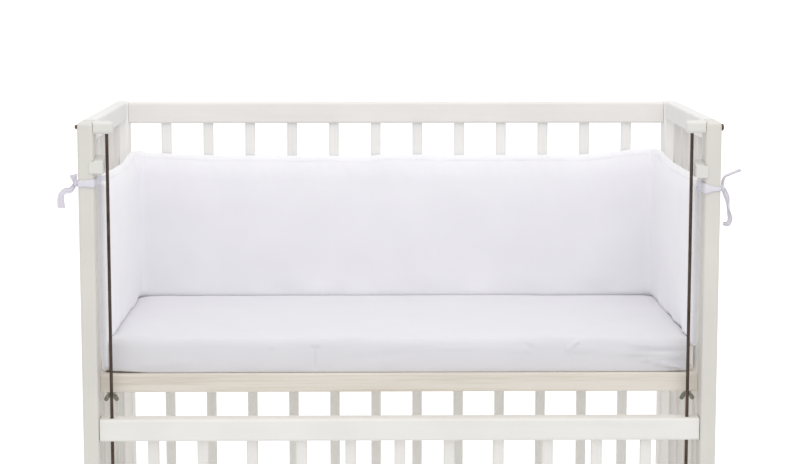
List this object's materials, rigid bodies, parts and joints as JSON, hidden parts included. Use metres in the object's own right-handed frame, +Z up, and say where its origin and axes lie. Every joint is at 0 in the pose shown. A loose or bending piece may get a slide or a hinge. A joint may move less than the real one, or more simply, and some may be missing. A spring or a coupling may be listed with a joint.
{
  "type": "crib bumper tied into a bedside crib with its mattress",
  "caption": "Padded three-sided bumper standing round a fitted mattress in an open-sided wooden bedside crib, tied to the front posts.",
  "frame": {"origin": "on the floor under the middle of the crib", "axes": "+X to the right along the crib's length seen from its open side, +Y to the barred back, +Z up"},
  "size_m": [1.0275, 0.4875, 0.83],
  "materials": {
    "white_paint": "satin white paint on wood",
    "cream_wood": "cream washed wood",
    "dark_steel": "dark brown satin",
    "grey_metal": "zinc plated",
    "bumper_cotton": "white cotton over soft fibre",
    "sheet_cotton": "white cotton fitted sheet",
    "tie_cotton": "white cotton tape"
  },
  "bodies": {
    "root": {"post_front_left": "white_paint", "post_front_right": "white_paint", "post_back_left": "white_paint", "post_back_right": "white_paint", "end_left_top_rail": "white_paint", "end_left_bottom_rail": "white_paint", "end_left_bar_1": "white_paint", "end_left_bar_2": "white_paint", "end_left_bar_3": "white_paint", "end_left_bar_4": "white_paint", "end_right_top_rail": "white_paint", "end_right_bottom_rail": "white_paint", "end_right_bar_1": "white_paint", "end_right_bar_2": "white_paint", "end_right_bar_3": "white_paint", "end_right_bar_4": "white_paint", "back_top_rail": "white_paint", "back_bottom_rail": "white_paint", "side_top_rail": "white_paint", "side_bottom_rail": "white_paint", "back_bar_01": "white_paint", "back_bar_02": "white_paint", "back_bar_03": "white_paint", "back_bar_04": "white_paint", "back_bar_05": "white_paint", "back_bar_06": "white_paint", "back_bar_07": "white_paint", "back_bar_08": "white_paint", "back_bar_09": "white_paint", "back_bar_10": "white_paint", "back_bar_11": "white_paint", "back_bar_12": "white_paint", "side_bar_01": "white_paint", "side_bar_02": "white_paint", "side_bar_03": "white_paint", "side_bar_04": "white_paint", "side_bar_05": "white_paint", "side_bar_06": "white_paint", "side_bar_07": "white_paint", "side_bar_08": "white_paint", "side_bar_09": "white_paint", "side_bar_10": "white_paint", "side_bar_11": "white_paint", "rod_left": "dark_steel", "rod_top_block_left": "white_paint", "rod_foot_block_left": "white_paint", "stop_block_left": "white_paint", "wing_nut_left": "grey_metal", "tie_left": "tie_cotton", "rod_right": "dark_steel", "rod_top_block_right": "white_paint", "rod_foot_block_right": "white_paint", "stop_block_right": "white_paint", "wing_nut_right": "grey_metal", "tie_right": "tie_cotton", "base_front_rail": "cream_wood", "base_back_rail": "cream_wood", "base_board": "cream_wood", "mattress": "sheet_cotton", "bumper": "bumper_cotton"}
  },
  "joints": []
}
